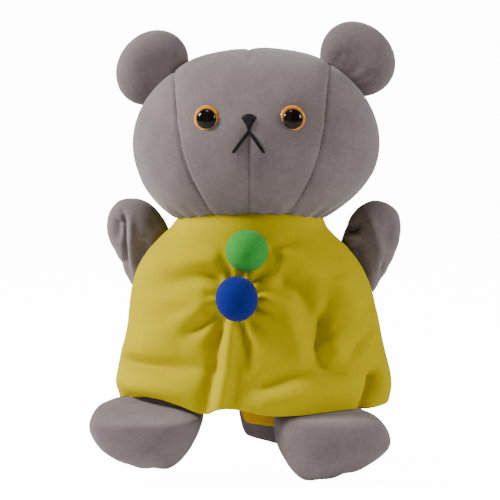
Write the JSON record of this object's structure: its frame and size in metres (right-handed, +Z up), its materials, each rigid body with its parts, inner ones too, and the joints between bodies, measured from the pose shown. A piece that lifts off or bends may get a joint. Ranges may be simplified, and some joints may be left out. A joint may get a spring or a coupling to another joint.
{
  "type": "hand puppet",
  "caption": "Bear glove puppet: stuffed head on a finger tube, dress with an inner sleeve for the hand, hollow mitten arms and stuffed legs.",
  "frame": {"origin": "centre of the hand opening, at the lower edge of the bound inner sleeve", "axes": "+Z up from the wrist to the head, the face looks along -Y, +X is the puppet's own left"},
  "size_m": [0.1806, 0.1239, 0.2736],
  "materials": {
    "grey_plush": "short grey nap",
    "wadding": "polyester wadding",
    "card_tube": "rolled card",
    "amber_plastic": "amber, glossy",
    "black_gloss": "black, polished",
    "white_plastic": "moulded washer",
    "black_thread": "satin stitch",
    "yellow_jersey": "brushed yellow jersey",
    "green_felt": "green felt",
    "blue_felt": "blue felt"
  },
  "bodies": {
    "glove": {"dress_front": "yellow_jersey", "dress_back": "yellow_jersey", "sleeve_front": "grey_plush", "sleeve_back": "grey_plush", "sleeve_band": "yellow_jersey", "green_ball": "green_felt", "blue_ball": "blue_felt"},
    "neck_lower": {"neck_lower_band": "grey_plush"},
    "neck_upper": {"neck_upper_band": "grey_plush"},
    "head": {"left_face_panel": "grey_plush", "left_cheek_panel": "grey_plush", "left_back_panel": "grey_plush", "right_face_panel": "grey_plush", "right_cheek_panel": "grey_plush", "right_back_panel": "grey_plush", "head_base_panel": "grey_plush", "head_stuffing": "wadding", "finger_tube": "card_tube", "left_ear_front": "grey_plush", "left_ear_back": "grey_plush", "left_ear_stuffing": "wadding", "left_eye_iris": "amber_plastic", "left_eye_pupil": "black_gloss", "left_eye_washer": "white_plastic", "right_ear_front": "grey_plush", "right_ear_back": "grey_plush", "right_ear_stuffing": "wadding", "right_eye_iris": "amber_plastic", "right_eye_pupil": "black_gloss", "right_eye_washer": "white_plastic", "nose_stitching": "black_thread", "mouth_stitching": "black_thread"},
    "left_cuff": {"left_arm_cuff": "grey_plush"},
    "left_arm": {"left_arm_front": "grey_plush", "left_arm_back": "grey_plush"},
    "right_cuff": {"right_arm_cuff": "grey_plush"},
    "right_arm": {"right_arm_front": "grey_plush", "right_arm_back": "grey_plush"},
    "left_tab": {"left_leg_tab": "grey_plush"},
    "left_leg": {"left_leg_front": "grey_plush", "left_leg_back": "grey_plush", "left_leg_stuffing": "wadding"},
    "right_tab": {"right_leg_tab": "grey_plush"},
    "right_leg": {"right_leg_front": "grey_plush", "right_leg_back": "grey_plush", "right_leg_stuffing": "wadding"}
  },
  "joints": [
    {"name": "head_nod", "type": "hinge", "parent": "glove", "child": "neck_lower", "pos_m": [0, 0, 0.136], "axis": [1, 0, 0], "range_deg": [-12, 12]},
    {"name": "head_tilt", "type": "hinge", "parent": "neck_lower", "child": "neck_upper", "pos_m": [0, 0, 0.136], "axis": [0, -1, 0], "range_deg": [-4.5, 4.5]},
    {"name": "head_turn", "type": "hinge", "parent": "neck_upper", "child": "head", "pos_m": [0, 0, 0.136], "axis": [0, 0, 1], "range_deg": [-25, 25]},
    {"name": "left_arm_lower", "type": "hinge", "parent": "glove", "child": "left_cuff", "pos_m": [0.062, 0.014, 0.095], "axis": [0, 1, 0], "range_deg": [-2, 34]},
    {"name": "left_arm_forward", "type": "hinge", "parent": "left_cuff", "child": "left_arm", "pos_m": [0.062, 0.014, 0.095], "axis": [0.9829, 0, -0.1839], "range_deg": [-10, 24]},
    {"name": "right_arm_lower", "type": "hinge", "parent": "glove", "child": "right_cuff", "pos_m": [-0.062, 0.014, 0.095], "axis": [0, -1, 0], "range_deg": [-2, 34]},
    {"name": "right_arm_forward", "type": "hinge", "parent": "right_cuff", "child": "right_arm", "pos_m": [-0.062, 0.014, 0.095], "axis": [0.9829, 0, 0.1839], "range_deg": [-10, 24]},
    {"name": "left_leg_swing", "type": "hinge", "parent": "glove", "child": "left_tab", "pos_m": [0.033, -0.0434, 0.019], "axis": [-1, 0, 0], "range_deg": [-15, 45]},
    {"name": "left_leg_turn", "type": "hinge", "parent": "left_tab", "child": "left_leg", "pos_m": [0.033, -0.0434, 0.019], "axis": [0, 0, -1], "range_deg": [-15, 45]},
    {"name": "right_leg_swing", "type": "hinge", "parent": "glove", "child": "right_tab", "pos_m": [-0.033, -0.0434, 0.019], "axis": [-1, 0, 0], "range_deg": [-15, 45]},
    {"name": "right_leg_turn", "type": "hinge", "parent": "right_tab", "child": "right_leg", "pos_m": [-0.033, -0.0434, 0.019], "axis": [0, 0, 1], "range_deg": [-15, 45]}
  ]
}
